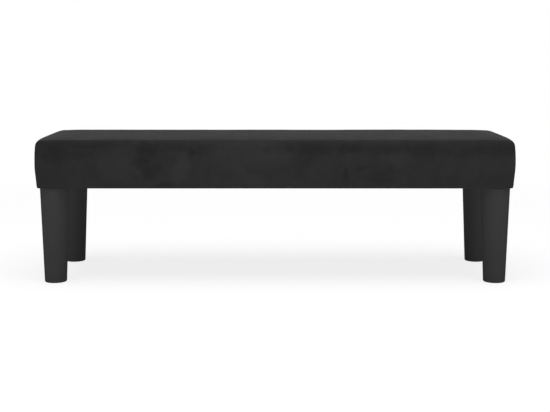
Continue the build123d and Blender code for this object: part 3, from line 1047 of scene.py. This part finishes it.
def metal_finish(name, brightness, rough):
    """Plated steel with slight cloudiness and fine scratches."""
    finish = Finish(name)
    cloud = finish.noise(finish.place(), scale=160.0, detail=3.0, rough=0.6)
    scratch = finish.noise(finish.place(scale=(1, 14, 1)), scale=420.0)
    colour = finish.blend(cloud, grey(brightness), grey(brightness * dull_share, dull_warmth))
    uneven = finish.ramp(scratch, low=0.2, high=0.8, to_low=rough, to_high=rough + scratch_roughness)
    soft = finish.bump(scratch, scratch_depth, strength=0.4)
    finish.set(Base_Color=colour, Roughness=uneven, Metallic=1.0, Normal=soft)
    return finish.material


def glide_finish():
    """Matt black glide plastic."""
    finish = Finish("matt_glide")
    scuff = finish.noise(finish.place(), scale=300.0, detail=4.0, rough=0.6)
    colour = finish.blend(scuff, grey(glide_dark), grey(glide_pale))
    soft = finish.bump(scuff, scuff_depth, strength=0.5)
    finish.set(Base_Color=colour, Roughness=0.7, Normal=soft)
    return finish.material


def wear(piece, material):
    """Give a piece one material."""
    piece.data.materials.clear()
    piece.data.materials.append(material)


def dress(piece, material, node):
    """Give a new piece its material and the body it rides on, and hide the imported node that it stands for.
    """
    wear(piece, material)
    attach(piece, "root")
    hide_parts(node)


def dress_frame(bright):
    """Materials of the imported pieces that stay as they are."""
    plywood = plywood_finish()
    zinc = metal_finish("zinc_steel", zinc_grey, zinc_roughness)
    moulded = leg_finish()
    glide = glide_finish()
    starts = {
        "leg_bolt": zinc,
        "leg": moulded,
        "foot_glide": glide,
        "tee_nut": zinc,
        "frame_screws": zinc,
        "board_nails": zinc,
        "cover_staples": bright,
        "dust_cover_staples": bright,
    }
    for name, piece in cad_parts.items():
        fitting = [start for start in starts if name.startswith(start)]
        wear(piece, starts[max(fitting, key=len)] if fitting else plywood)


# Stage

floor_size = 30.0
floor_grey = 0.82
shadow_share = 0.22
shadow_near = 0.9
shadow_far = 2.2
sky_glow = 0.55
seen_rays = ["Is Camera Ray", "Is Glossy Ray", "Is Transmission Ray"]

# Lamps: name, place, point they are turned to, width and height, and watts
lamps = [
    ("overhead", (0, -0.6, 2.6), (0, 0, 0.2), (3.0, 2.0), 66),
    ("left_side", (-3.4, -2.4, 0.25), (0, 0, 0.1), (2.4, 0.5), 60),
    ("right_side", (3.4, -2.4, 0.25), (0, 0, 0.1), (2.4, 0.5), 60),
    ("front", (0, -3.4, 0.35), (0, 0, 0.15), (3.0, 0.5), 6),
    ("rear", (0, 3.0, 0.6), (0, 0, 0.15), (3.0, 0.8), 22),
]


def seen_share(tree):
    """Whether a ray is one that is seen, directly or in a gloss or through glass, from 0 to 1."""
    path = tree.nodes.new("ShaderNodeLightPath")
    total = path.outputs[seen_rays[0]]
    for name in seen_rays[1:]:
        either = tree.nodes.new("ShaderNodeMath")
        either.operation = "MAXIMUM"
        tree.links.new(total, either.inputs[0])
        tree.links.new(path.outputs[name], either.inputs[1])
        total = either.outputs[0]
    return total


def floor():
    """Pale floor that shows white to the camera and keeps a soft shadow."""
    half = floor_size / 2
    corners = [(-half, -half, 0), (half, -half, 0), (half, half, 0), (-half, half, 0)]
    piece = mesh_piece("floor", corners, [(0, 1, 2, 3)])
    finish = Finish("pale_floor")
    tree = finish.tree
    diffuse = finish.add("BsdfDiffuse", None, {"Color": grey(floor_grey)})
    glow = finish.add("Emission", None, {"Color": grey(1.0), "Strength": 1.0})
    seen = Wire(finish, seen_share(tree))
    away = finish.add("VectorMath", {"operation": "LENGTH"}, {0: finish.place()}, 1)
    share = finish.ramp(away, shadow_near, shadow_far, 1 - shadow_share, 1.0)
    mixed = finish.add("MixShader", None, {0: seen * share, 1: diffuse, 2: glow})
    tree.links.new(mixed.socket, tree.nodes["Material Output"].inputs["Surface"])
    wear(piece, finish.material)


def sky():
    """Even white world light, seen as white."""
    world = bpy.data.worlds.new("studio")
    bpy.context.scene.world = world
    world.use_nodes = True
    tree = world.node_tree
    background = tree.nodes["Background"]
    background.inputs["Color"].default_value = grey(1.0)
    strength = tree.nodes.new("ShaderNodeMapRange")
    tree.links.new(seen_share(tree), strength.inputs["Value"])
    strength.inputs["To Min"].default_value = sky_glow
    strength.inputs["To Max"].default_value = 1.0
    tree.links.new(strength.outputs[0], background.inputs["Strength"])


def soft_box(name, place, target, size, power):
    """Large area lamp turned to a point."""
    lamp = bpy.data.lights.new(name, "AREA")
    lamp.shape = "RECTANGLE"
    lamp.size = size[0]
    lamp.size_y = size[1]
    lamp.energy = power
    piece = bpy.data.objects.new(name, lamp)
    bpy.context.scene.collection.objects.link(piece)
    piece.location = place
    piece.rotation_euler = (Vector(target) - Vector(place)).to_track_quat("-Z", "Y").to_euler()


# Camera: the photograph's view, 550 by 412

picture_width = 550
focal_pixels = 1087
sensor_width = 36.0
camera_height = 0.4969
camera_distance = 2.3761
camera_drop = math.radians(4.139)
camera_shift = -0.150


def camera():
    """Camera in front of the middle of the bench, a little above it."""
    data = bpy.data.cameras.new("camera")
    data.sensor_width = sensor_width
    data.lens = focal_pixels / picture_width * sensor_width
    data.shift_y = camera_shift
    piece = bpy.data.objects.new("camera", data)
    bpy.context.scene.collection.objects.link(piece)
    piece.location = (0, -camera_distance, camera_height)
    piece.rotation_euler = (math.pi / 2 - camera_drop, 0, 0)
    bpy.context.scene.camera = piece


bpy.context.scene.view_settings.view_transform = "Standard"

bright_steel = metal_finish("staple_steel", staple_grey, staple_roughness)
dress_frame(bright_steel)
cover = Cover()
cover.swell()
skin = velvet_cover(cover)
fibre_wadding(cover)
cream_foam = foam_finish()
seat_foam(cover, cream_foam)
side_foams(cover, cream_foam)
dust_lining()
staples(bright_steel)

floor()
sky()
for lamp in lamps:
    soft_box(*lamp)
camera()
